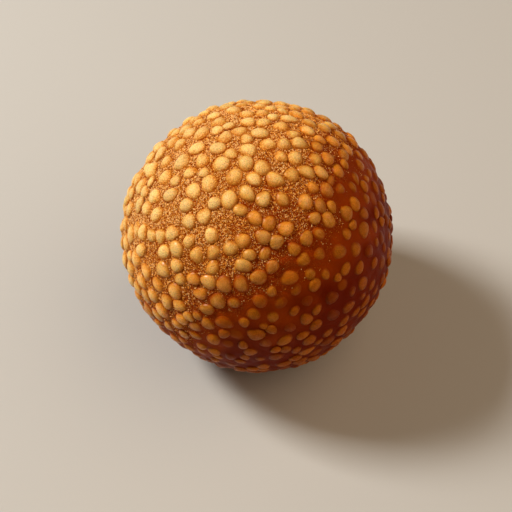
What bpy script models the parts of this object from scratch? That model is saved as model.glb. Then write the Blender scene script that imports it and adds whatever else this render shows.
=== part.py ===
"""Sesame ladoo: a sweet rolled by hand from jaggery and sesame, with whole seeds standing out of its surface.

Metres, +Z up. The ball rests on a small flat spot pressed into its underside, and the origin is the middle of
that spot.
"""

import math

import bmesh
import bpy
import numpy as np

# The jaggery ball
BALL_RADIUS = 0.0235  # its surface between the seeds
REST_SPOT_RADIUS = 0.0048
CENTRE_HEIGHT = math.sqrt(BALL_RADIUS**2 - REST_SPOT_RADIUS**2)
BALL_SUBDIVISIONS = 3
FACET_LIFT = 0.00018  # puts the flat facets as far outside the true surface as inside it
LUMP_WAVES = 7  # the unevenness that rolling between the palms leaves
LUMP_LENGTH = 0.026
LUMP_HEIGHT = 0.00011

# The sesame seeds
SEED_COUNT = 720  # on the real ball
FUSED_COUNT = 365  # the largest of them, which are modelled here
SEED_LENGTH = 0.00288
SEED_LENGTH_SPREAD = 0.0004
SHORTEST_SEED = 0.0018
LONGEST_SEED = 0.0038
SLIMMEST_SEED = 0.78  # width over length
PLUMPEST_SEED = 1.0
LEAST_PROUD = 0.00044  # height above the jaggery
MOST_PROUD = 0.00072
SEED_ROOT = 0.0006  # depth of a seed's foot below the jaggery
SEED_TAPER = 0.09  # how much the narrower end is drawn in
SEED_SIDES = 6
SHOULDER_SPREAD = 0.75  # the ring between foot and crown, over the outline
SHOULDER_HEIGHT = 0.70  # over the height of the crown
SMOOTH_UP_TO = math.radians(32)  # edges that turn less are shaded round
NEAREST = 0.94  # least distance of two seeds, over the sum of their mean radii
CHOICES = 3  # clear places, of which a seed takes the one nearest to another seed
BARE_PATCHES = 28  # spots of jaggery that caught no seed
BARE_PATCH_RADIUS = 0.002
TRIES = 400
ROLLING = 7  # the random draw of the lumps
SOWING = 29  # the random draw of the seeds


def unit(vectors):
    """The vectors, each scaled to length one."""
    return vectors / np.linalg.norm(vectors, axis=-1, keepdims=True)


def lump_height(directions):
    """Height of the rolled surface over the true ball: a sum of long waves that run through space."""
    rng = np.random.default_rng(ROLLING)
    waves = unit(rng.normal(size=(LUMP_WAVES, 3))) * (2 * math.pi * BALL_RADIUS / LUMP_LENGTH)
    phases = rng.uniform(0, 2 * math.pi, LUMP_WAVES)
    return LUMP_HEIGHT * np.sin(directions @ waves.T + phases).sum(axis=-1)


def surface_point(directions):
    """Where the jaggery surface lies in each direction from the ball's centre."""
    radius = BALL_RADIUS + lump_height(directions)
    return directions * radius[..., None] + np.array([0, 0, CENTRE_HEIGHT])


def spacing(some, others):
    """Distances on the ball from each of some directions to each of the others."""
    return BALL_RADIUS * np.arccos(np.clip(some @ others.T, -1, 1))


def sow():
    """Directions, lengths, widths, heights and turns of all the seeds, the largest first.

    Of the first few random directions that are clear of the bare patches and of the seeds before it, each seed
    takes the one that is nearest to another seed.
    """
    rng = np.random.default_rng(SOWING)
    lengths = rng.normal(SEED_LENGTH, SEED_LENGTH_SPREAD, SEED_COUNT).clip(SHORTEST_SEED, LONGEST_SEED)
    lengths = np.sort(lengths)[::-1]
    widths = lengths * rng.uniform(SLIMMEST_SEED, PLUMPEST_SEED, SEED_COUNT)
    heights = rng.uniform(LEAST_PROUD, MOST_PROUD, SEED_COUNT)
    turns = rng.uniform(0, 2 * math.pi, SEED_COUNT)
    reaches = (lengths + widths) / 4
    patches = unit(rng.normal(size=(BARE_PATCHES, 3)))
    directions = np.empty((0, 3))
    kept = []
    for seed in range(SEED_COUNT):
        tried = unit(rng.normal(size=(TRIES, 3)))
        gaps = spacing(tried, directions) - NEAREST * (reaches[kept] + reaches[seed])
        gap = gaps.min(axis=1, initial=math.pi * BALL_RADIUS)
        clear = (gap >= 0) & (spacing(tried, patches) >= BARE_PATCH_RADIUS).all(axis=1)
        choices = np.flatnonzero(clear)[:CHOICES]
        if len(choices):
            directions = np.vstack([directions, tried[choices[gap[choices].argmin()]]])
            kept.append(seed)
    return directions, lengths[kept], widths[kept], heights[kept], turns[kept]


def seed_axes(direction, turn):
    """Unit vectors along a seed's length, along its width and out of the ball."""
    aside = np.array([0.0, 0.0, 1.0]) if abs(direction[2]) < 0.9 else np.array([1.0, 0.0, 0.0])
    east = unit(np.cross(aside, direction))
    north = np.cross(direction, east)
    along = east * math.cos(turn) + north * math.sin(turn)
    return along, np.cross(direction, along), direction


def seed_shape(direction, length, width, height, turn):
    """Points and faces of one seed: a foot ring in the jaggery, a shoulder ring and a crown."""
    along, across, out = seed_axes(direction, turn)
    centre = surface_point(direction)
    angles = np.arange(SEED_SIDES) * 2 * math.pi / SEED_SIDES
    lengthwise = length / 2 * np.cos(angles)
    crosswise = width / 2 * np.sin(angles) * (1 - SEED_TAPER * np.cos(angles))
    outline = np.outer(lengthwise, along) + np.outer(crosswise, across)
    foot = centre + outline - SEED_ROOT * out
    shoulder = centre + SHOULDER_SPREAD * outline + SHOULDER_HEIGHT * height * out
    points = np.vstack([foot, shoulder, centre + height * out])
    crown = 2 * SEED_SIDES
    faces = [tuple(range(SEED_SIDES))[::-1]]
    for side in range(SEED_SIDES):
        after = (side + 1) % SEED_SIDES
        faces.append((side, after, SEED_SIDES + after, SEED_SIDES + side))
        faces.append((SEED_SIDES + side, SEED_SIDES + after, crown))
    return points, faces


def add_ball(material):
    """The jaggery ball: an icosphere whose points are moved to just outside the rolled surface."""
    mesh = bpy.data.meshes.new("ladoo")
    shape = bmesh.new()
    bmesh.ops.create_icosphere(shape, subdivisions=BALL_SUBDIVISIONS, radius=1.0)
    shape.to_mesh(mesh)
    shape.free()
    directions = np.empty(len(mesh.vertices) * 3)
    mesh.vertices.foreach_get("co", directions)
    directions = unit(directions.reshape(-1, 3))
    mesh.vertices.foreach_set("co", (surface_point(directions) + FACET_LIFT * directions).ravel())
    mesh.materials.append(material)
    ball = bpy.data.objects.new("ladoo", mesh)
    bpy.context.scene.collection.objects.link(ball)
    return ball


def add_seeds():
    """A collection with the largest seeds, each as its own closed object."""
    seeds = bpy.data.collections.new("seeds")
    bpy.context.scene.collection.children.link(seeds)
    sown = [values[:FUSED_COUNT] for values in sow()]
    for number, (direction, length, width, height, turn) in enumerate(zip(*sown)):
        points, faces = seed_shape(direction, length, width, height, turn)
        mesh = bpy.data.meshes.new(f"seed_{number}")
        mesh.from_pydata(points.tolist(), [], faces)
        seeds.objects.link(bpy.data.objects.new(mesh.name, mesh))
    return seeds


def fuse(ball, seeds):
    """Joins the seeds to the ball by one Boolean union, applies it and removes the seeds."""
    union = ball.modifiers.new("fuse seeds", "BOOLEAN")
    union.operation = "UNION"
    union.operand_type = "COLLECTION"
    union.collection = seeds
    union.solver = "EXACT"
    bpy.context.view_layer.update()
    fused = bpy.data.meshes.new_from_object(ball.evaluated_get(bpy.context.evaluated_depsgraph_get()))
    ball.modifiers.remove(union)
    ball.data = fused
    for seed in list(seeds.objects):
        bpy.data.objects.remove(seed)
    bpy.data.collections.remove(seeds)


def press_flat(ball):
    """Cuts the ball and the seeds under it level with the surface that they rest on."""
    shape = bmesh.new()
    shape.from_mesh(ball.data)
    everything = shape.verts[:] + shape.edges[:] + shape.faces[:]
    cut = bmesh.ops.bisect_plane(
        shape, geom=everything, plane_co=(0, 0, 0), plane_no=(0, 0, 1), clear_inner=True, dist=1e-7
    )
    rim = [piece for piece in cut["geom_cut"] if isinstance(piece, bmesh.types.BMEdge)]
    bmesh.ops.holes_fill(shape, edges=rim)
    bmesh.ops.triangulate(shape, faces=shape.faces[:])
    shape.to_mesh(ball.data)
    shape.free()
    ball.data.shade_smooth()
    ball.data.set_sharp_from_angle(angle=SMOOTH_UP_TO)


def sesame_jaggery():
    """The mean finish of seeds and jaggery together: golden amber with a soft gloss."""
    material = bpy.data.materials.new("sesame_jaggery")
    material.use_nodes = True
    shader = material.node_tree.nodes["Principled BSDF"]
    shader.inputs["Base Color"].default_value = (0.47, 0.19, 0.035, 1.0)
    shader.inputs["Roughness"].default_value = 0.42
    shader.inputs["Metallic"].default_value = 0.0
    return material


def main():
    for thing in list(bpy.data.objects):
        bpy.data.objects.remove(thing)
    ball = add_ball(sesame_jaggery())
    fuse(ball, add_seeds())
    press_flat(ball)


main()
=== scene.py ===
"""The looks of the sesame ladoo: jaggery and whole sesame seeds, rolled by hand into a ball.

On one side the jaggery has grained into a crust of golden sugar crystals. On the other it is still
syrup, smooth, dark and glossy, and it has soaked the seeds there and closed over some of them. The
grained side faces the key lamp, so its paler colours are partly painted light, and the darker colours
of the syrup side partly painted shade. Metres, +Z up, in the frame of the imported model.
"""

import logging
import math
from collections.abc import Callable
from dataclasses import dataclass
from enum import Enum

import bpy
import numpy as np
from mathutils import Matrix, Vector


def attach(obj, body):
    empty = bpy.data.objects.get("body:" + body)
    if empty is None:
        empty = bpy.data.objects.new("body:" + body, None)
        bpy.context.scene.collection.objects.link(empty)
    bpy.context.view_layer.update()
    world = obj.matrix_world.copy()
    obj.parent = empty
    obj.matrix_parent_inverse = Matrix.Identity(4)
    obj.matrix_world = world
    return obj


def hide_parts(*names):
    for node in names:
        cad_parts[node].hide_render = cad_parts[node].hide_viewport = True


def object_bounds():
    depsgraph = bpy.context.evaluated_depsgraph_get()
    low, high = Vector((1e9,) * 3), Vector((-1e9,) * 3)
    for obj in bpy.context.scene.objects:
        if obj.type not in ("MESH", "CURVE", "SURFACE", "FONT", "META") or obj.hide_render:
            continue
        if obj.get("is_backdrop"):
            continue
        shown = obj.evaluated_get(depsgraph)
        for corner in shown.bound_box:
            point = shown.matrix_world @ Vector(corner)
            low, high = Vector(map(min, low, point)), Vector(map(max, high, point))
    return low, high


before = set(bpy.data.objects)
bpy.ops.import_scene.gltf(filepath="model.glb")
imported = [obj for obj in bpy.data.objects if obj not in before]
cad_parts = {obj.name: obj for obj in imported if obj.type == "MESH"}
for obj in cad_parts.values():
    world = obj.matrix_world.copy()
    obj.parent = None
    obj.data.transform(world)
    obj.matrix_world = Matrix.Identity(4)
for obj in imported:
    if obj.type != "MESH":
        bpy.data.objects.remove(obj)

MM = 0.001
CAD_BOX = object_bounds()
BODY = "root"
NODE = "ladoo"
BAKE_MAP = "OFBake"  # the UV map that an export bakes the finish through
CHART_REACH = 0.49  # from the middle of a chart's square on that map to the chart's edge
BLOCK = 6000  # directions compared with all the seeds at a time

# Where the ball stands in the picture, in pixels
PICTURE_SIDE = 512
BALL_IN_PICTURE = (256.8, 235.6)
BALL_RADIUS_IN_PICTURE = 136.0

LOG = logging.getLogger("ladoo")
Colour = tuple[float, float, float]
GOLDEN: Colour = (1.0, 0.62, 0.24)  # the tint of the sheen on sugar and seeds


def unit(vectors: np.ndarray) -> np.ndarray:
    """Each vector over its own length."""
    return vectors / np.linalg.norm(vectors, axis=-1, keepdims=True)


def smooth_step(low: float, high: float, values: np.ndarray) -> np.ndarray:
    """0 below low, 1 above high and 3t^2 - 2t^3 between them, t being the place between low and high."""
    place = ((values - low) / (high - low)).clip(0, 1)
    return place * place * (3 - 2 * place)


def blend(first: np.ndarray | float, second: np.ndarray | float, share: np.ndarray) -> np.ndarray:
    """The first where share is 0, the second where it is 1 and a mean weighted by it between."""
    return first + (second - first) * share


@dataclass(frozen=True)
class Waves:
    """An uneven height through space: the sum of sine waves of one length that run in random directions.

    Each wave adds height * sin(2 pi * distance along its run / length + phase).
    """

    count: int
    length: float
    height: float
    draw: int

    def at(self, points: np.ndarray) -> np.ndarray:
        """The height at each point."""
        rng = np.random.default_rng(self.draw)
        runs = unit(rng.normal(size=(self.count, 3))) * (2 * math.pi / self.length)
        phases = rng.uniform(0, 2 * math.pi, self.count)
        return self.height * np.sin(points @ runs.T + phases).sum(axis=-1)


@dataclass(frozen=True)
class RolledBall:
    """The form that the palms give the jaggery, and how far it has grained."""

    radius: float = 23.5 * MM
    rest_spot_radius: float = 4.8 * MM
    lumps: Waves = Waves(count=7, length=26 * MM, height=0.11 * MM, draw=7)
    # points almost at the key lamp: the colours that follow this side are partly painted light and
    # painted shade
    grained_and_lit_side: tuple[float, float, float] = (-0.66, 0.30, 0.69)
    grains_from: float = -0.22  # these four are cosines of the angle to the grained side
    grains_fully: float = 1.0
    thickest_at: float = -0.45
    thinnest_at: float = 0.05
    frontier: Waves = Waves(count=12, length=15 * MM, height=0.018, draw=3)
    frontier_fringe: Waves = Waves(count=16, length=4.5 * MM, height=0.014, draw=4)

    @property
    def middle(self) -> np.ndarray:
        """The ball's centre, which the flat spot brings down to less than a radius above the ground."""
        return np.array([0.0, 0.0, math.sqrt(self.radius**2 - self.rest_spot_radius**2)])

    def height(self, directions: np.ndarray) -> np.ndarray:
        """How far the rolled surface stands out of the true ball in each direction."""
        return self.lumps.at(directions * self.radius)

    def place(self, directions: np.ndarray, heights: np.ndarray | float) -> np.ndarray:
        """The points at these heights above the true ball."""
        return self.middle + directions * (self.radius + np.asarray(heights))[..., None]

    def facing(self, directions: np.ndarray) -> np.ndarray:
        """The cosine of the angle to the grained side, plus waves that let the frontier wander."""
        points = directions * self.radius
        towards = directions @ unit(np.array(self.grained_and_lit_side))
        return towards + self.frontier.at(points) + self.frontier_fringe.at(points)

    def grained(self, directions: np.ndarray) -> np.ndarray:
        """How far the syrup has turned to sugar."""
        return smooth_step(self.grains_from, self.grains_fully, self.facing(directions))

    def thin(self, directions: np.ndarray) -> np.ndarray:
        """How thin the syrup is, from 0 far from the grained side to 1 at the frontier; its darker
        colours partly painted shade.
        """
        return smooth_step(self.thickest_at, self.thinnest_at, self.facing(directions))


@dataclass(frozen=True)
class SownSeeds:
    """Where the seeds lie on the ball, and how large they are."""

    ball: RolledBall
    directions: np.ndarray
    lengths: np.ndarray
    widths: np.ndarray
    heights: np.ndarray
    turns: np.ndarray
    taper: float = 0.09  # how much the narrower end is drawn in

    @property
    def along(self) -> np.ndarray:
        """Unit vectors along the seeds' lengths."""
        steep = np.abs(self.directions[:, 2:]) >= 0.9
        aside = np.where(steep, [1.0, 0.0, 0.0], [0.0, 0.0, 1.0])
        east = unit(np.cross(aside, self.directions))
        north = np.cross(self.directions, east)
        return east * np.cos(self.turns)[:, None] + north * np.sin(self.turns)[:, None]

    @property
    def across(self) -> np.ndarray:
        """Unit vectors along the seeds' widths."""
        return np.cross(self.directions, self.along)

    def chosen(self, which: np.ndarray) -> "SownSeeds":
        """Only the seeds that a mask picks."""
        values = (self.directions, self.lengths, self.widths, self.heights, self.turns)
        return SownSeeds(self.ball, *(numbers[which] for numbers in values), taper=self.taper)

    def edges(self, directions: np.ndarray) -> tuple[np.ndarray, np.ndarray, np.ndarray]:
        """How far places on the ball are from the nearest seed.

        A seed's outline is an ellipse with one end drawn in. A place's rho is its distance from the
        seed's middle over the outline's that way, and its distance from the edge is (rho - 1) times the
        seed's mean radius.

        Args:
            directions: the places, as directions from the ball's centre.

        Returns:
            The distance to the nearest edge, below zero inside; rho; and that seed's number.
        """
        along, across = self.along, self.across
        half_length, half_width = self.lengths / 2 / self.ball.radius, self.widths / 2 / self.ball.radius
        mean_radius = (self.lengths + self.widths) / 4
        found = []
        for block in np.array_split(directions, len(directions) // BLOCK + 1):
            lengthwise = block @ along.T / half_length
            crosswise = block @ across.T / half_width / (1 - self.taper * lengthwise.clip(-1, 1))
            rho = np.hypot(lengthwise, crosswise)
            rho[block @ self.directions.T < 0] = np.inf
            edge = (rho - 1) * mean_radius
            nearest = edge.argmin(axis=1)
            rows = np.arange(len(block))
            found.append((edge[rows, nearest], rho[rows, nearest], nearest))
        edge, rho, nearest = (np.concatenate(values) for values in zip(*found))
        return edge, rho, nearest


@dataclass(frozen=True)
class Sowing:
    """The rule that scatters the seeds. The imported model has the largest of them."""

    ball: RolledBall
    count: int = 720
    length: float = 2.88 * MM
    length_spread: float = 0.4 * MM
    shortest: float = 1.8 * MM
    longest: float = 3.8 * MM
    slimmest: float = 0.78  # width over length
    plumpest: float = 1.0
    least_proud: float = 0.44 * MM  # height above the jaggery
    most_proud: float = 0.72 * MM
    nearest: float = 0.94  # least distance of two seeds, over the sum of their mean radii
    choices: int = 3  # clear places, of which a seed takes the one nearest to another seed
    bare_patches: int = 28
    bare_patch_radius: float = 2.0 * MM
    tries: int = 400
    draw: int = 29
    late_count: int = 90  # small seeds in the bare syrup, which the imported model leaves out
    late_longest: float = 2.4 * MM
    late_grained: float = 0.3  # at most
    late_draw: int = 31
    drowned_longest: float = 2.9 * MM  # of the seeds that the syrup closes over
    drowned_share: float = 0.15
    drowned_grained: float = 0.25  # at most
    drowned_draw: int = 61

    def spacing(self, some: np.ndarray, others: np.ndarray) -> np.ndarray:
        """Distances on the ball from each of some directions to each of the others."""
        return self.ball.radius * np.arccos(np.clip(some @ others.T, -1, 1))

    def settle(
        self,
        rng: np.random.Generator,
        directions: np.ndarray,
        reaches: np.ndarray,
        allowed: Callable[[np.ndarray], np.ndarray],
    ) -> tuple[np.ndarray, list[int]]:
        """Lays down one seed after another.

        Of the first few random directions that are allowed and clear of the seeds before it, each seed
        takes the one that is nearest to another seed.

        Args:
            rng: draws the directions.
            directions: where the seeds lie that are already there, which are the first of reaches.
            reaches: the mean radius of each seed.
            allowed: tells for each of some directions whether a seed may lie there.

        Returns:
            The directions of all the seeds that found a place, and their numbers.
        """
        kept = list(range(len(directions)))
        for seed in range(len(directions), len(reaches)):
            tried = unit(rng.normal(size=(self.tries, 3)))
            gaps = self.spacing(tried, directions) - self.nearest * (reaches[kept] + reaches[seed])
            gap = gaps.min(axis=1, initial=math.pi * self.ball.radius)
            choices = np.flatnonzero((gap >= 0) & allowed(tried))[: self.choices]
            if len(choices):
                directions = np.vstack([directions, tried[choices[gap[choices].argmin()]]])
                kept.append(seed)
        return directions, kept

    def sow(self) -> SownSeeds:
        """Sows the largest seed first, clear of the bare patches."""
        rng = np.random.default_rng(self.draw)
        lengths = rng.normal(self.length, self.length_spread, self.count)
        lengths = np.sort(lengths.clip(self.shortest, self.longest))[::-1]
        widths = lengths * rng.uniform(self.slimmest, self.plumpest, self.count)
        heights = rng.uniform(self.least_proud, self.most_proud, self.count)
        turns = rng.uniform(0, 2 * math.pi, self.count)
        reaches = (lengths + widths) / 4
        patches = unit(rng.normal(size=(self.bare_patches, 3)))

        def open_ground(tried: np.ndarray) -> np.ndarray:
            """Whether the directions are clear of the bare patches."""
            return (self.spacing(tried, patches) >= self.bare_patch_radius).all(axis=1)

        directions, kept = self.settle(rng, np.empty((0, 3)), reaches, open_ground)
        return SownSeeds(self.ball, directions, lengths[kept], widths[kept], heights[kept], turns[kept])

    def fill(self, seeds: SownSeeds) -> SownSeeds:
        """Adds small seeds in the gaps of the side that is still syrup."""
        rng = np.random.default_rng(self.late_draw)
        lengths = rng.uniform(self.shortest, self.late_longest, self.late_count)
        late = (
            lengths,
            lengths * rng.uniform(self.slimmest, self.plumpest, self.late_count),
            rng.uniform(self.least_proud, self.most_proud, self.late_count),
            rng.uniform(0, 2 * math.pi, self.late_count),
        )
        sown = (seeds.lengths, seeds.widths, seeds.heights, seeds.turns)
        lengths, widths, heights, turns = (np.concatenate(values) for values in zip(sown, late))

        def syrup(tried: np.ndarray) -> np.ndarray:
            """Whether the directions are on the side that is still syrup."""
            return self.ball.grained(tried) < self.late_grained

        directions, kept = self.settle(rng, seeds.directions, (lengths + widths) / 4, syrup)
        return SownSeeds(self.ball, directions, lengths[kept], widths[kept], heights[kept], turns[kept])

    def drowned(self, seeds: SownSeeds) -> np.ndarray:
        """Which seeds the syrup has closed over: a share of the short ones, where little has grained."""
        chance = np.random.default_rng(self.drowned_draw).uniform(0, 1, len(seeds.lengths))
        fluid = smooth_step(self.drowned_grained, 0.0, self.ball.grained(seeds.directions))
        return (seeds.lengths < self.drowned_longest) & (chance < self.drowned_share * fluid)


class Signal:
    """A node's output that takes part in Python arithmetic: each operation adds its Math node."""

    def __init__(self, nodes: "Nodes", socket: bpy.types.NodeSocket) -> None:
        """Wraps an output socket."""
        self.nodes = nodes
        self.socket = socket

    def maths(self, operation: str, *values: "Signal | float") -> "Signal":
        """The result of one Math node on these values."""
        return self.nodes.add("Math", {"operation": operation}, dict(enumerate(values)))

    def __add__(self, other: "Signal | float") -> "Signal":
        """self + other."""
        return self.maths("ADD", self, other)

    __radd__ = __add__

    def __sub__(self, other: "Signal | float") -> "Signal":
        """self - other."""
        return self.maths("SUBTRACT", self, other)

    def __rsub__(self, other: "Signal | float") -> "Signal":
        """other - self."""
        return self.maths("SUBTRACT", other, self)

    def __mul__(self, other: "Signal | float") -> "Signal":
        """self * other."""
        return self.maths("MULTIPLY", self, other)

    __rmul__ = __mul__

    def between(self, low: float, high: float) -> "Signal":
        """The smooth step from 0 at low to 1 at high."""
        ends = {"Value": self, "From Min": low, "From Max": high}
        return self.nodes.add("MapRange", {"interpolation_type": "SMOOTHSTEP"}, ends)


class Nodes:
    """The nodes of one material."""

    def __init__(self, name: str) -> None:
        """Starts a material with a Principled shader."""
        self.material = bpy.data.materials.new(name)
        self.material.use_nodes = True
        self.tree = self.material.node_tree
        self.shader = self.tree.nodes["Principled BSDF"]

    def add(
        self, kind: str, settings: dict | None = None, inputs: dict | None = None, output: int | str = 0
    ) -> Signal:
        """Adds one node.

        Args:
            kind: the node's type, without the ShaderNode that it starts with.
            settings: properties to set before the sockets.
            inputs: a value or a Signal for each socket, by name or number.
            output: the output to hand back.

        Returns:
            The output that was asked for.
        """
        node = self.tree.nodes.new("ShaderNode" + kind)
        for name, value in (settings or {}).items():
            setattr(node, name, value)
        for name, value in (inputs or {}).items():
            self.feed(node.inputs[name], value)
        return Signal(self, node.outputs[output])

    def feed(self, socket: bpy.types.NodeSocket, value: "Signal | Colour | float") -> None:
        """Links a Signal to a socket, or sets its value."""
        if isinstance(value, Signal):
            self.tree.links.new(value.socket, socket)
        elif isinstance(value, tuple) and socket.type == "RGBA":
            socket.default_value = (*value, 1.0)
        else:
            socket.default_value = value

    def finish(self, **inputs: "Signal | Colour | float") -> bpy.types.Material:
        """Feeds the shader's sockets, named with _ for each space, and returns the material."""
        for name, value in inputs.items():
            self.feed(self.shader.inputs[name.replace("_", " ")], value)
        return self.material

    def place(self) -> Signal:
        """The point on the piece, in metres."""
        return self.add("TexCoord", output="Object")

    def attribute(self, name: str, output: str = "Fac") -> Signal:
        """A value that the piece's mesh holds."""
        return self.add("Attribute", {"attribute_name": name}, output=output)

    def mix(self, first: "Signal | Colour", second: "Signal | Colour", share: "Signal | float") -> Signal:
        """The colour between two colours, the second where share is 1."""
        return self.add("Mix", {"data_type": "RGBA"}, {0: share, 6: first, 7: second}, output=2)

    def shade(self, colour: "Signal | Colour", strength: "Signal | float") -> Signal:
        """A colour made lighter or darker by a factor."""
        return self.add("VectorMath", {"operation": "SCALE"}, {0: colour, "Scale": strength})

    def noise(self, vector: Signal, size: float, detail: float = 2.0, roughness: float = 0.5) -> Signal:
        """Cloudy noise around 0.5, whose blobs are about this many of the vector's units across."""
        inputs = {"Vector": vector, "Scale": 1 / size, "Detail": detail, "Roughness": roughness}
        return self.add("TexNoise", inputs=inputs)

    def cells(self, vector: Signal, size: float, output: str) -> Signal:
        """Cells of about this size: their Distance from the middle, or a random Color for each."""
        return self.add("TexVoronoi", inputs={"Vector": vector, "Scale": 1 / size}, output=output)

    def bump(self, height: Signal, distance: float, under: Signal | None = None) -> Signal:
        """A normal bent by a height from 0 to 1 that stands for this distance, over another bump's."""
        inputs = {"Height": height, "Distance": distance}
        if under is not None:
            inputs["Normal"] = under
        return self.add("Bump", inputs=inputs)


@dataclass(frozen=True)
class JaggeryFinish:
    """Jaggery: a golden crust of fine crystals where it has grained, dark smooth syrup elsewhere; the
    contrast is partly painted light and shade.
    """

    crystal: Colour = (0.97, 0.50, 0.11)
    # sand to brown_sand and thin_syrup to syrup darken away from the grained side, which faces the key
    # lamp: partly the jaggery's own colour, partly painted shade
    sand: Colour = (0.49, 0.140, 0.005)
    brown_sand: Colour = (0.30, 0.026, 0.0002)
    # painted shade for the gaps between the grains and round the seeds
    crevice_shade: Colour = (0.27, 0.028, 0.0003)
    syrup: Colour = (0.145, 0.009, 0.0002)
    thin_syrup: Colour = (0.34, 0.043, 0.0008)
    drowned_seed: Colour = (0.36, 0.080, 0.003)
    grain: float = 0.26 * MM  # sizes of what varies over it
    dust: float = 0.13 * MM
    patches: float = 2.6 * MM
    streaks: float = 5.0 * MM
    ripples: float = 1.3 * MM
    grain_relief: float = 0.20 * MM
    ripple_relief: float = 0.03 * MM
    depth_of_light: float = 0.9 * MM

    def material(self) -> bpy.types.Material:
        """Builds the material. It reads grained, thin, foot and veil from the mesh."""
        nodes = Nodes("jaggery")
        place = nodes.place()
        grained = nodes.attribute("grained")
        thin = nodes.attribute("thin")
        foot = nodes.attribute("foot")
        veil = nodes.attribute("veil")
        middle = nodes.cells(place, self.grain, "Distance")
        chance = nodes.cells(place, self.grain, "Color")
        dust = nodes.noise(place, self.dust, detail=3)
        patches = nodes.noise(place, self.patches, detail=3)
        streaks = nodes.noise(place, self.streaks, detail=4, roughness=0.6)

        bright = (1 - middle * 1.25) * (0.3 + 0.7 * chance) * (0.4 + 1.2 * dust)
        # the sand darker away from the grained, lit side: partly its own colour, partly painted shade
        sand = nodes.mix(self.brown_sand, self.sand, grained.between(0.2, 0.95))
        crust = nodes.mix(sand, self.crystal, bright.between(0.15, 0.55) * (0.10 + 0.40 * grained))
        # painted shade: a darker colour in the gaps between the grains
        crust = nodes.mix(crust, self.crevice_shade, (middle + 0.5 * dust).between(0.50, 0.85) * 0.85)
        crust = nodes.shade(crust, 0.80 + 0.40 * patches)
        # painted shade: a darker ring round each seed, contact shade and partly a soaked ring
        crust = nodes.mix(crust, self.crevice_shade, foot * 0.2)
        # the syrup darker further from the grained, lit side: partly thick syrup, partly painted shade
        syrup = nodes.mix(self.syrup, self.thin_syrup, (thin + 0.8 * (streaks - 0.5)).between(-0.1, 1.1))
        syrup = nodes.mix(syrup, self.drowned_seed, veil)
        grainy = (grained + 0.1 * (dust - 0.5) + 0.1 * (patches - 0.5)).between(-0.02, 0.18)
        colour = nodes.mix(syrup, crust, grainy)

        grains = nodes.bump(((1 - middle) * 0.8 + 0.35 * dust) * grainy, self.grain_relief)
        ripples = nodes.noise(place, self.ripples, detail=2)
        return nodes.finish(
            Base_Color=colour,
            Roughness=0.40 + 0.16 * grainy + 0.12 * (patches - 0.5),
            Normal=nodes.bump(ripples * (1 - grainy), self.ripple_relief, under=grains),
            Specular_IOR_Level=0.03,
            Specular_Tint=GOLDEN,
            Subsurface_Weight=0.22,
            Subsurface_Radius=(1.0, 0.32, 0.08),
            Subsurface_Scale=self.depth_of_light,
        )


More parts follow.
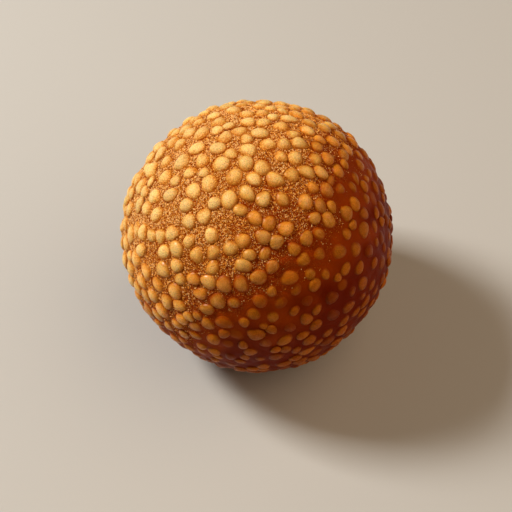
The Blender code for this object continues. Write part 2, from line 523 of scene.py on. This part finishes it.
@dataclass(frozen=True)
class SesameFinish:
    """Sesame: straw gold and dusted with sugar in the grained crust, amber where syrup has soaked in,
    partly painted light and shade.
    """

    # dusted and dry on the grained side, which faces the key lamp, against amber and dark amber on the
    # syrup side: partly the seeds' own colour, partly painted light and shade
    dusted: Colour = (0.96, 0.56, 0.165)
    dry: Colour = (0.98, 0.52, 0.105)
    rosy: Colour = (0.93, 0.37, 0.048)
    # painted shade on the seeds' low flanks, dry and soaked
    shaded_flank: Colour = (0.86, 0.28, 0.014)
    shaded_soaked_flank: Colour = (0.36, 0.100, 0.002)
    amber: Colour = (0.53, 0.162, 0.007)
    dark_amber: Colour = (0.34, 0.064, 0.001)
    syrup: Colour = (0.17, 0.015, 0.0003)
    thin_syrup: Colour = (0.36, 0.055, 0.001)
    speck: Colour = (0.50, 0.13, 0.004)
    # painted highlight on each seed's crown
    crown: Colour = (1.0, 0.70, 0.28)
    glaze_tint: Colour = (1.0, 0.93, 0.80)
    dust: float = 0.25 * MM  # sizes of what varies over it
    mottle: float = 0.8 * MM
    fleck: float = 0.17 * MM
    grit_relief: float = 0.07 * MM
    wrinkle_relief: float = 0.08 * MM
    depth_of_light: float = 0.7 * MM

    def material(self) -> bpy.types.Material:
        """Builds the material. It reads tone, soak, thin, proud, veil and skin from the mesh."""
        nodes = Nodes("sesame")
        place = nodes.place()
        tone = nodes.attribute("tone")
        soak = nodes.attribute("soak")
        thin = nodes.attribute("thin")
        proud = nodes.attribute("proud")
        veil = nodes.attribute("veil")
        skin = nodes.attribute("skin", "Vector")
        streaks = nodes.noise(skin, 1.0, detail=3, roughness=0.6)
        mottle = nodes.noise(place, self.mottle, detail=3)
        fleck = nodes.noise(place, self.fleck, detail=3)
        middle = nodes.cells(place, self.dust, "Distance")

        dry = nodes.mix(self.dry, self.rosy, (tone + 0.8 * (mottle - 0.5)).between(0.2, 0.9))
        # darker amber further from the grained, lit side: partly soaking, partly painted shade
        amber = (0.7 * thin + 0.4 * tone + 0.8 * (mottle - 0.5)).between(0.0, 1.0)
        wet = nodes.mix(self.dark_amber, self.amber, amber)
        shore = (0.20 - proud + 0.25 * (mottle - 0.5)).between(-0.03, 0.22)
        film = (soak + 0.3 * shore + 0.4 * (mottle - 0.5)).between(0.35, 1.05)
        # paler dusted seeds on the grained side, which faces the key lamp: partly sugar dust, partly
        # painted light
        dry = nodes.mix(dry, self.dusted, (1 - soak + 0.6 * (mottle - 0.5)).between(0.4, 1.0))
        # painted shade: the flanks low on each seed darker
        dry = nodes.mix(dry, self.shaded_flank, (0.5 - proud + 0.3 * (mottle - 0.5)).between(0.0, 0.5) * 0.75)
        # painted highlight: the seed's crown paler
        dry = nodes.mix(dry, self.crown, (proud + 0.4 * (mottle - 0.5)).between(0.3, 0.8) * 0.7)
        colour = nodes.mix(dry, wet, film)
        # painted shade: soaked seeds darker on their low flanks
        side = (0.5 - proud + 0.3 * (mottle - 0.5)).between(0.0, 0.5) * soak.between(0.1, 0.5)
        colour = nodes.mix(colour, self.shaded_soaked_flank, side * 0.5)
        lines = (streaks - 0.5) * 0.50 + (fleck - 0.5) * (2.2 - 1.0 * soak) + 1
        colour = nodes.shade(colour, lines * (0.88 + 0.24 * tone))
        rim = (0.55 - proud + 0.5 * (mottle - 0.5)).between(0.0, 0.45)
        dusted = (1 - soak).between(0.2, 0.9) * (0.3 + 0.7 * rim)
        gaps = (middle + 0.5 * fleck).between(0.52, 0.88)
        colour = nodes.mix(colour, self.speck, gaps * dusted * 0.8)
        colour = nodes.mix(colour, self.speck, fleck.between(0.58, 0.67) * (0.45 + 0.4 * rim))
        sunk = shore * soak.between(0.2, 0.8)
        syrup = nodes.mix(self.syrup, self.thin_syrup, thin)
        colour = nodes.mix(colour, syrup, (sunk + veil).between(0.0, 1.0) * 0.92)
        grit = nodes.bump((1 - middle) * dusted + 0.4 * fleck, self.grit_relief)
        gloss = 0.43 - 0.15 * soak.between(0.05, 0.5) + 0.12 * soak.between(0.7, 1.0)
        wetted = soak.between(0.15, 0.6) - 0.9 * soak.between(0.75, 1.0)
        glaze = (proud + 0.2 * (mottle - 0.5)).between(-0.02, 0.20) * (0.04 + 0.85 * wetted) * (1 - veil)
        glaze = glaze * (0.6 * streaks + 0.4 * fleck).between(0.46, 0.57)
        return nodes.finish(
            Base_Color=colour,
            Roughness=gloss + 0.2 * (mottle - 0.5),
            Normal=nodes.bump(streaks, self.wrinkle_relief, under=grit),
            Specular_IOR_Level=0.10,
            Specular_Tint=GOLDEN,
            Coat_Weight=glaze,
            Coat_Roughness=0.33,
            Coat_Tint=self.glaze_tint,
            Subsurface_Weight=0.30,
            Subsurface_Radius=(1.0, 0.45, 0.14),
            Subsurface_Scale=self.depth_of_light,
        )


@dataclass(frozen=True)
class CrystalFinish:
    """Grained sugar: small clear-edged crystals from straw to deep orange."""

    name: str
    pale: Colour = (1.0, 0.62, 0.24)
    gold: Colour = (0.95, 0.39, 0.045)
    deep: Colour = (0.36, 0.045, 0.0004)
    cloud: float = 0.1 * MM  # size of what varies over it

    def material(self) -> bpy.types.Material:
        """Builds the material. It reads each crystal's tone from the mesh."""
        nodes = Nodes(self.name)
        tone = nodes.attribute("tone")
        cloud = nodes.noise(nodes.place(), self.cloud, detail=2)
        light = tone + 0.3 * (cloud - 0.5)
        colour = nodes.mix(self.deep, self.gold, light.between(0.0, 0.5))
        colour = nodes.mix(colour, self.pale, light.between(0.5, 0.95))
        return nodes.finish(
            Base_Color=colour, Roughness=0.25 + 0.2 * cloud, Specular_IOR_Level=0.06, Specular_Tint=GOLDEN
        )


def add_piece(
    name: str,
    points: np.ndarray,
    faces: list,
    material: bpy.types.Material,
    values: dict[str, np.ndarray],
) -> bpy.types.Object:
    """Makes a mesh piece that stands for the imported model's node and stays inside the model's box.

    Args:
        name: the piece's name.
        points: its vertices, three numbers each.
        faces: the vertices of each face, anticlockwise from outside.
        material: its material.
        values: what the mesh holds for its material, one number or vector a vertex.

    Returns:
        The piece.
    """
    mesh = bpy.data.meshes.new(name)
    mesh.from_pydata(points.clip(*CAD_BOX).tolist(), [], faces)
    for label, numbers in values.items():
        kind, key = ("FLOAT_VECTOR", "vector") if numbers.ndim == 2 else ("FLOAT", "value")
        held = mesh.attributes.new(label, kind, "POINT")
        held.data.foreach_set(key, numbers.astype(np.float32).ravel())
    mesh.materials.append(material)
    piece = bpy.data.objects.new(name, mesh)
    bpy.context.scene.collection.objects.link(piece)
    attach(piece, BODY)
    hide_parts(NODE)
    LOG.info("%s: %d vertices, %d faces", name, len(points), len(faces))
    return piece


def in_squares(chart: np.ndarray, count: int) -> np.ndarray:
    """The places on a map for this many copies of a chart, each in its own square of a grid.

    Args:
        chart: the corners of a shape's faces in a square from 0 to 1, as faces x corners x 2.
        count: the number of copies.

    Returns:
        The corners of all the copies, as copies x faces x corners x 2.
    """
    columns = math.ceil(math.sqrt(count))
    squares = np.stack(np.divmod(np.arange(count), columns), -1)
    return (squares[:, None, None] + chart) / columns


def add_map(piece: bpy.types.Object, corners: np.ndarray) -> None:
    """Gives a piece the map to bake through, from two numbers for each corner of each face."""
    layer = piece.data.uv_layers.new(name=BAKE_MAP)
    layer.uv.foreach_set("vector", corners.astype(np.float32).ravel())


@dataclass(frozen=True)
class JaggeryCrust:
    """The jaggery between the seeds: its relief, and how it creeps up the seeds and closes over some."""

    ball: RolledBall
    seeds: SownSeeds
    drowned: np.ndarray
    finish: JaggeryFinish = JaggeryFinish()
    cells: int = 128  # of the grid on each of six sides
    dry_creep: float = 0.04 * MM
    wet_creep: float = 0.14 * MM
    dry_reach: float = 0.25 * MM
    wet_reach: float = 0.50 * MM
    wet_level: float = 0.08 * MM
    dry_level: float = -0.09 * MM
    foot_shade_reach: float = 0.16 * MM  # of the painted contact shade round each seed, partly a soaked ring
    hump: float = 0.40  # of a drowned seed, over the seed's own height
    hump_fullness: float = 0.75  # 0.5 would be half an ellipse, and 1 a parabola
    veil: float = 0.6  # how far a drowned seed shows through
    veil_edge: float = 0.7  # the rho within which it shows so far
    floor_gap: float = 0.04 * MM  # keeps the jaggery behind the seeds that are pressed flat
    crags: Waves = Waves(count=28, length=1.7 * MM, height=0.011 * MM, draw=11)
    grit: Waves = Waves(count=32, length=0.8 * MM, height=0.010 * MM, draw=12)
    swells: Waves = Waves(count=14, length=3.6 * MM, height=0.012 * MM, draw=13)

    def height(self, directions: np.ndarray) -> tuple[np.ndarray, dict[str, np.ndarray]]:
        """The jaggery's height above the true ball, and what its finish needs to know.

        The height is the rolled form plus crags and grit where it has grained, or swells where it is
        syrup, plus creep * exp(-distance to the nearest seed / reach), plus a hump over each drowned
        seed, which is the seed's height * hump * (1 - rho^2)^fullness.

        Args:
            directions: places on the ball, as directions from its centre.

        Returns:
            The heights, and the values grained, thin, foot and veil by name.
        """
        points = directions * self.ball.radius
        grained = self.ball.grained(directions)
        standing = self.seeds.chosen(~self.drowned)
        sunk = self.seeds.chosen(self.drowned)
        edge, _, _ = standing.edges(directions)
        outside = np.maximum(edge, 0)
        creep = blend(self.wet_creep, self.dry_creep, grained)
        reach = blend(self.wet_reach, self.dry_reach, grained)
        _, rho, number = sunk.edges(directions)
        mound = (1 - np.minimum(rho, 1) ** 2) ** self.hump_fullness
        height = self.ball.height(directions)
        height += grained * (self.crags.at(points) + self.grit.at(points) + self.dry_level)
        height += (1 - grained) * (self.swells.at(points) + self.wet_level)
        height += creep * np.exp(-outside / reach)
        height += self.hump * sunk.heights[number] * mound
        # the painted contact shade round each seed, partly a soaked ring
        foot = np.exp(-outside / self.foot_shade_reach)
        veil = smooth_step(1.0, self.veil_edge, rho) * self.veil
        thin = self.ball.thin(directions)
        return height, {"grained": grained, "thin": thin, "foot": foot, "veil": veil}

    def grid(self) -> tuple[np.ndarray, np.ndarray, np.ndarray]:
        """Directions over the whole ball, from a square grid on each side of a cube.

        A grid place (s, t) from -1 to 1 points towards (1, tan(s pi / 4), tan(t pi / 4)) on the first
        side, and the others are that side turned. Places on two sides are merged, which closes the ball.

        Returns:
            The directions, the faces and the corners of each face on the map.
        """
        steps = np.linspace(-1, 1, self.cells + 1)
        s, t = np.meshgrid(steps, steps, indexing="ij")
        side = np.stack([np.ones_like(s), np.tan(s * math.pi / 4), np.tan(t * math.pi / 4)], -1)
        side = side.reshape(-1, 3)
        turns = ((1, 1, 1), (-1, -1, 1))
        sides = [np.roll(side * turn, roll, axis=1) for roll in range(3) for turn in turns]
        rounded = np.round(unit(np.concatenate(sides)), 7) + 0.0
        directions, merged = np.unique(rounded, axis=0, return_inverse=True)
        numbers = np.arange(len(side)).reshape(s.shape)
        quads = np.stack([numbers[:-1, :-1], numbers[1:, :-1], numbers[1:, 1:], numbers[:-1, 1:]], -1)
        faces = np.concatenate([quads.reshape(-1, 4) + number * len(side) for number in range(6)])
        chart = 0.5 + CHART_REACH * np.stack([s, t], -1).reshape(-1, 2)
        charts = [(chart + (number % 3, number // 3)) / (3, 2) for number in range(6)]
        return unit(directions), merged.reshape(-1)[faces], np.concatenate(charts)[faces]

    def build(self) -> bpy.types.Object:
        """Builds the crust, flat where it stands."""
        directions, faces, corners = self.grid()
        heights, values = self.height(directions)
        points = self.ball.place(directions, heights)
        points[:, 2] = points[:, 2].clip(self.floor_gap)
        piece = add_piece("jaggery", points, faces.tolist(), self.finish.material(), values)
        piece.data.shade_smooth()
        add_map(piece, corners)
        return piece


@dataclass(frozen=True)
class SesameSeeds:
    """The seeds that stand out of the jaggery: plump, uneven, egg-shaped domes, a little tilted."""

    seeds: SownSeeds
    crust: JaggeryCrust
    finish: SesameFinish = SesameFinish()
    sectors: int = 16
    latitudes: tuple[float, ...] = (8, 36, 62)  # of the rings between foot and crown, in degrees
    dry_swell: float = 1.09  # over the outline, because the jaggery hides the widest ring
    wet_swell: float = 1.14
    frontier_swell: float = 0.05  # more where the crust ends: soaked plump, but not closed over
    thickness: float = 0.38  # from a seed's rim to its crown, over its width
    fullness: float = 1.08  # below 1 rounds the shoulders out
    dent: float = 0.045
    tilt: float = 0.08
    lean: float = 0.06
    veil: float = 0.8  # of syrup over a soaked seed, at most
    wrinkles: tuple[float, float] = (1.1 * MM, 0.26 * MM)  # their length along a seed, and their width
    skin_step: float = 7.3  # from one seed's wrinkles to the next seed's, in their noise
    disc: float = 0.46  # radius of a seed on the map, where its rim would be
    draw: int = 41

    def rings(self) -> tuple[np.ndarray, np.ndarray]:
        """Spread and rise of each ring: cos(latitude) to the power fullness, and sin(latitude)."""
        latitudes = np.radians([-90, *self.latitudes, 90])
        return np.cos(latitudes).clip(0) ** self.fullness, np.sin(latitudes)

    def shapes(self, rng: np.random.Generator) -> tuple[np.ndarray, np.ndarray]:
        """The seeds' points, as seeds x rings x sectors, and their places along and across each seed.

        A ring's point is the seed's egg-shaped outline times the ring's spread, dented by two and three
        waves a turn, and thickness times the ring's rise out of the ball. The crown leans to one side.
        """
        seeds, count = self.seeds, len(self.seeds.lengths)
        spread, rise = self.rings()
        angles = np.arange(self.sectors) * 2 * math.pi / self.sectors
        phases = rng.uniform(0, 2 * math.pi, (2, count, 1))
        dents = 1 + self.dent * (np.sin(2 * angles + phases[0]) + np.sin(3 * angles + phases[1]))
        egg = 1 - seeds.taper * np.cos(angles)
        grained = seeds.ball.grained(seeds.directions)
        swell = blend(self.wet_swell, self.dry_swell, grained)
        swell += self.frontier_swell * 4 * grained * (1 - grained)
        dents = dents * swell[:, None]
        lengthwise = (seeds.lengths[:, None] / 2 * np.cos(angles) * dents)[:, None] * spread[:, None]
        crosswise = (seeds.widths[:, None] / 2 * np.sin(angles) * egg * dents)[:, None] * spread[:, None]
        leans = rng.normal(0, self.lean, (2, count, 1, 1)) * seeds.widths[:, None, None]
        raised = np.maximum(rise, 0)[:, None] ** 2
        lengthwise = lengthwise + leans[0] * raised
        crosswise = crosswise + leans[1] * raised
        thick = self.thickness * seeds.widths
        upward = thick[:, None, None] * rise[:, None] + np.zeros(self.sectors)
        tilts = rng.normal(0, self.tilt, (2, count, 1))
        out = unit(seeds.directions + tilts[0] * seeds.along + tilts[1] * seeds.across)
        along = unit(seeds.along - out * (seeds.along * out).sum(axis=1, keepdims=True))
        across = np.cross(out, along)
        crown = seeds.ball.height(seeds.directions) + seeds.heights
        middles = seeds.ball.place(seeds.directions, crown) - out * thick[:, None]
        points = middles[:, None, None] + lengthwise[..., None] * along[:, None, None]
        points += crosswise[..., None] * across[:, None, None]
        points += upward[..., None] * out[:, None, None]
        return points, np.stack([lengthwise, crosswise], -1)

    def vertices(self, values: np.ndarray) -> np.ndarray:
        """What the mesh keeps of values at all ring points: one at each foot and crown, all between."""
        count, size = len(values), values.shape[-1]
        parts = (values[:, :1, :1], values[:, 1:-1], values[:, -1:, :1])
        parts = [part.reshape(count, -1, size) for part in parts]
        return np.concatenate(parts, axis=1).reshape(-1, size)

    def proud(self, points: np.ndarray) -> np.ndarray:
        """How far the points stand out of the jaggery around the seeds."""
        ball = self.crust.ball
        outward = points - ball.middle
        distances = np.linalg.norm(outward, axis=1)
        level, _ = self.crust.height(outward / distances[:, None])
        return distances - ball.radius - level

    def faces(self, count: int) -> tuple[list, np.ndarray]:
        """A fan round each foot, bands between the rings and a fan round each crown, for all the seeds.

        On the map a seed is a disc with its crown in the middle and its foot all round the rim.

        Args:
            count: the number of seeds.

        Returns:
            The faces, and the corners of each face on the map.
        """
        rings = len(self.latitudes)
        sector = np.arange(self.sectors)
        after = (sector + 1) % self.sectors
        ring = 1 + self.sectors * np.arange(rings)[:, None]
        low, high = ring[:-1], ring[1:]
        bands = np.stack([low + sector, low + after, high + after, high + sector], -1).reshape(-1, 4)
        foot = np.stack([np.zeros_like(sector), 1 + after, 1 + sector], -1)
        top = np.full_like(sector, 1 + rings * self.sectors)
        crown = np.stack([ring[-1] + sector, ring[-1] + after, top], -1)
        starts = (np.arange(count) * (2 + rings * self.sectors))[:, None, None]
        shapes = (foot, bands, crown)
        faces = []
        for shape in shapes:
            faces += (starts + shape).reshape(-1, shape.shape[-1]).tolist()

        angles = (sector + [[0], [0.5]]) * 2 * math.pi / self.sectors
        circle, rim = np.stack([np.cos(angles), np.sin(angles)], -1)
        radii = self.disc * (1 - np.array(self.latitudes) / 90)
        around = (radii[:, None, None] * circle).reshape(-1, 2)
        spots = 0.5 + np.concatenate([np.zeros((1, 2)), around, np.zeros((1, 2))])
        charts = [spots[shape] for shape in shapes]
        charts[0][:, 0] = 0.5 + CHART_REACH * rim
        return faces, np.concatenate([in_squares(chart, count).reshape(-1, 2) for chart in charts])

    def build(self) -> bpy.types.Object:
        """Builds the seeds, pressed flat where the ball stands."""
        rng = np.random.default_rng(self.draw)
        count = len(self.seeds.lengths)
        shapes, places = self.shapes(rng)
        points = self.vertices(shapes)
        points[:, 2] = points[:, 2].clip(0)
        tone = rng.uniform(0, 1, count)
        soak = 1 - self.seeds.ball.grained(self.seeds.directions)
        veil = self.veil * soak**2 * rng.uniform(0, 1, count) ** 3
        thin = self.seeds.ball.thin(self.seeds.directions)
        of_seeds = np.array([tone, soak, thin, veil, self.skin_step * np.arange(count)])
        tone, soak, thin, veil, step = np.repeat(of_seeds, len(points) // count, axis=1)
        skin = np.column_stack([self.vertices(places) / self.wrinkles, step])
        proud = self.proud(points) / MM
        values = {"tone": tone, "soak": soak, "thin": thin, "veil": veil, "proud": proud, "skin": skin}
        faces, corners = self.faces(count)
        piece = add_piece("sesame_seeds", points, faces, self.finish.material(), values)
        piece.data.shade_smooth()
        add_map(piece, corners)
        return piece


# An eight-sided crystal's corners, and where the map has the first five of them
CRYSTAL_CORNERS = np.concatenate([np.eye(3), -np.eye(3)])
CRYSTAL_SPOTS = np.array([[1, 0.5], [0.5, 1], [0.5, 0.5], [0, 0.5], [0.5, 0]])


class CrystalSize(Enum):
    """The sorts of crystal: least and most radius in millimetres, number, least tone and draw."""

    COARSE = (0.095, 0.155, 24000, 0.3, 51)
    MIDDLING = (0.065, 0.10, 22000, 0.1, 53)
    FINE = (0.045, 0.075, 24000, 0.0, 52)


@dataclass(frozen=True)
class SugarCrystals:
    """Crystals of one sort, a little more than half sunk in the grained jaggery."""

    crust: JaggeryCrust
    size: CrystalSize
    candidates: int = 150000
    close_from: float = 0.4  # how far grained the jaggery is where they lie closest
    clearance: float = -0.04 * MM  # from a crystal's middle to the nearest seed's edge, at least
    uneven: float = 0.35
    sunk: float = 0.25  # of a crystal's radius
    small: float = 0.8  # scales the radii where the jaggery is all but syrup
    clumps: Waves = Waves(count=24, length=0.6 * MM, height=0.007 * MM, draw=14)
    clump_height: float = 0.05 * MM  # a rise of the clumps by this much makes a crystal lighter by the share below: painted light on raised crystals, painted shade on sunk ones
    clump_painted_light: float = 0.3
    contrast: float = 1.5
    dark: float = 0.25  # scales the tones where the jaggery is all but syrup: painted shade on the side away from the key lamp
    light: float = 1.3  # scales them where it has grained fully: painted light on the side that faces the key lamp
    sparkling: float = 0.20  # share of the crystals that are pale wherever they lie: partly pale sugar, partly painted glints
    margin: float = 0.1  # round a crystal on the map, in its own square

    def spread(self, rng: np.random.Generator, count: int) -> np.ndarray:
        """Directions for at most this many crystals: the grained places that lie clear of the seeds."""
        tried = unit(rng.normal(size=(self.candidates, 3)))
        grained = self.crust.ball.grained(tried)
        tried = tried[rng.uniform(0, 1, self.candidates) < smooth_step(0.0, self.close_from, grained)]
        edge, _, _ = self.crust.seeds.edges(tried)
        return tried[edge > self.clearance][:count]

    def faces(self) -> tuple[np.ndarray, np.ndarray]:
        """A crystal's eight faces, and the corners of each on the map.

        On the map the corner at the top is in the middle, the four around it are halfway along the sides
        and the one at the bottom is at all four corners.
        """
        east, north = np.array([0, 1, 3, 4]), np.array([1, 3, 4, 0])
        upper = np.stack([east, north, np.full(4, 2)], -1)
        lower = np.stack([north, east, np.full(4, 5)], -1)
        spots = CRYSTAL_SPOTS
        bottom = spots[east] + spots[north] - 0.5
        chart = np.concatenate([spots[upper], np.stack([spots[north], spots[east], bottom], 1)])
        return np.concatenate([upper, lower]), self.margin + (1 - 2 * self.margin) * chart

    def build(self) -> bpy.types.Object:
        """Builds the crystals: eight-sided, each corner at its own distance, turned every way."""
        least, most, count, least_tone, draw = self.size.value
        rng = np.random.default_rng(draw)
        directions = self.spread(rng, count)
        count = len(directions)
        grained = self.crust.ball.grained(directions)
        radii = rng.uniform(least, most, count) * MM * blend(self.small, 1.0, grained)
        reach = radii[:, None] * rng.uniform(1 - self.uneven, 1 + self.uneven, (count, 6))
        turns, _ = np.linalg.qr(rng.normal(size=(count, 3, 3)))
        turns *= np.sign(np.linalg.det(turns))[:, None, None]
        heights, _ = self.crust.height(directions)
        clump = self.clumps.at(directions * self.crust.ball.radius)
        middles = self.crust.ball.place(directions, heights + clump - self.sunk * radii)
        points = middles[:, None] + (CRYSTAL_CORNERS * reach[..., None]) @ turns
        points[..., 2] = points[..., 2].clip(self.crust.floor_gap)
        faces, chart = self.faces()
        faces = (faces + 6 * np.arange(count)[:, None, None]).reshape(-1, 3)
        # painted light and shade: crystals raised on the clumps lighter, sunk ones darker
        tones = rng.uniform(least_tone, 1, count) + clump / self.clump_height * self.clump_painted_light
        # painted shade and light: tones darker towards the syrup side, lighter on the grained side that
        # faces the key lamp
        tones = tones.clip(0, 1) ** self.contrast * blend(self.dark, self.light, grained**2)
        # painted glints in part: a share of the crystals pale wherever it lies
        tones[rng.uniform(0, 1, count) < self.sparkling] = 1
        name = f"{self.size.name.lower()}_crystals"
        material = CrystalFinish(name).material()
        values = {"tone": np.repeat(tones, 6)}
        piece = add_piece(name, points.reshape(-1, 3), faces.tolist(), material, values)
        add_map(piece, in_squares(chart, count))
        return piece


@dataclass(frozen=True)
class Studio:
    """The floor, a key from the upper left, a warm fill from the right, an even fill and the camera."""

    ball: RolledBall
    lens: float = 85.0
    sensor: float = 36.0
    camera_elevation: float = math.radians(50.5)
    outer_radius: float = 24.05 * MM  # of the ball over its seeds
    key_from: tuple[float, float, float] = (-0.66, 0.19, 0.725)
    key_size: float = 0.15
    key_power: float = 3.85
    key_colour: Colour = (1.0, 1.0, 0.97)
    side_from: tuple[float, float, float] = (0.62, -0.14, 0.77)
    side_size: float = 0.8
    side_power: float = 2.4
    side_colour: Colour = (1.0, 0.75, 0.50)
    lamp_distance: float = 0.60
    fill: float = 0.05
    fill_colour: Colour = (1.0, 0.93, 0.84)
    floor_reach: float = 2.0
    floor_colour: Colour = (0.54, 0.51, 0.47)

    def build(self) -> None:
        """Sets the floor, the lights and the camera."""
        self.add_floor()
        self.add_lights()
        self.add_camera()
        bpy.context.scene.view_settings.view_transform = "Standard"

    def add_floor(self) -> None:
        """A wide square floor at the ball's foot."""
        mesh = bpy.data.meshes.new("floor")
        far = self.floor_reach
        corners = [(-far, -far, 0), (far, -far, 0), (far, far, 0), (-far, far, 0)]
        mesh.from_pydata(corners, [], [(0, 1, 2, 3)])
        mesh.materials.append(Nodes("floor").finish(Base_Color=self.floor_colour, Roughness=0.9))
        floor = bpy.data.objects.new("floor", mesh)
        bpy.context.scene.collection.objects.link(floor)
        floor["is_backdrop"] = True

    def add_lamp(
        self, name: str, towards: tuple[float, float, float], size: float, power: float, colour: Colour
    ) -> None:
        """Adds a square lamp that faces the ball.

        Args:
            name: its name.
            towards: where it stands, as a direction from the ball.
            size: its side.
            power: its power in watts.
            colour: its colour.
        """
        lamp = bpy.data.lights.new(name, "AREA")
        lamp.energy = power
        lamp.size = size
        lamp.color = colour
        stand = bpy.data.objects.new(name, lamp)
        away = Vector(towards).normalized()
        stand.location = Vector(self.ball.middle) + away * self.lamp_distance
        stand.rotation_euler = away.to_track_quat("Z", "Y").to_euler()
        bpy.context.scene.collection.objects.link(stand)

    def add_lights(self) -> None:
        """The key, the fill from the side and the even fill."""
        self.add_lamp("key", self.key_from, self.key_size, self.key_power, self.key_colour)
        self.add_lamp("side", self.side_from, self.side_size, self.side_power, self.side_colour)
        world = bpy.data.worlds.new("studio")
        world.use_nodes = True
        background = world.node_tree.nodes["Background"]
        background.inputs["Color"].default_value = (*self.fill_colour, 1.0)
        background.inputs["Strength"].default_value = self.fill
        bpy.context.scene.world = world

    def add_camera(self) -> None:
        """The camera, placed and aimed so that the ball has its size and place in the picture."""
        focal = self.lens / self.sensor * PICTURE_SIDE
        reach = self.outer_radius * focal / BALL_RADIUS_IN_PICTURE
        distance = math.hypot(reach, self.outer_radius)
        back = Vector((0, -math.cos(self.camera_elevation), math.sin(self.camera_elevation)))
        right = Vector((1, 0, 0))
        up = back.cross(right)
        middle = Vector(self.ball.middle)
        across = (BALL_IN_PICTURE[0] - PICTURE_SIDE / 2) * distance / focal
        above = (PICTURE_SIDE / 2 - BALL_IN_PICTURE[1]) * distance / focal
        place = middle + back * distance
        aim = middle - right * across - up * above
        lens = bpy.data.cameras.new("camera")
        lens.lens = self.lens
        lens.sensor_width = self.sensor
        camera = bpy.data.objects.new("camera", lens)
        camera.location = place
        camera.rotation_euler = (aim - place).to_track_quat("-Z", "Y").to_euler()
        bpy.context.scene.collection.objects.link(camera)
        bpy.context.scene.camera = camera


def main() -> None:
    """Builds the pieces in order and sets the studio."""
    ball = RolledBall()
    sowing = Sowing(ball)
    seeds = sowing.fill(sowing.sow())
    drowned = sowing.drowned(seeds)
    LOG.info("%d seeds, %d of them under the syrup", len(seeds.lengths), drowned.sum())
    crust = JaggeryCrust(ball, seeds, drowned)
    crust.build()
    SesameSeeds(seeds.chosen(~drowned), crust).build()
    for size in CrystalSize:
        SugarCrystals(crust, size).build()
    Studio(ball).build()
    boxes = {"cad": CAD_BOX, "visual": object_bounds()}
    boxes = {name: [list(map(float, corner)) for corner in box] for name, box in boxes.items()}


if __name__ == "__main__":
    logging.basicConfig(level=logging.INFO)
    main()
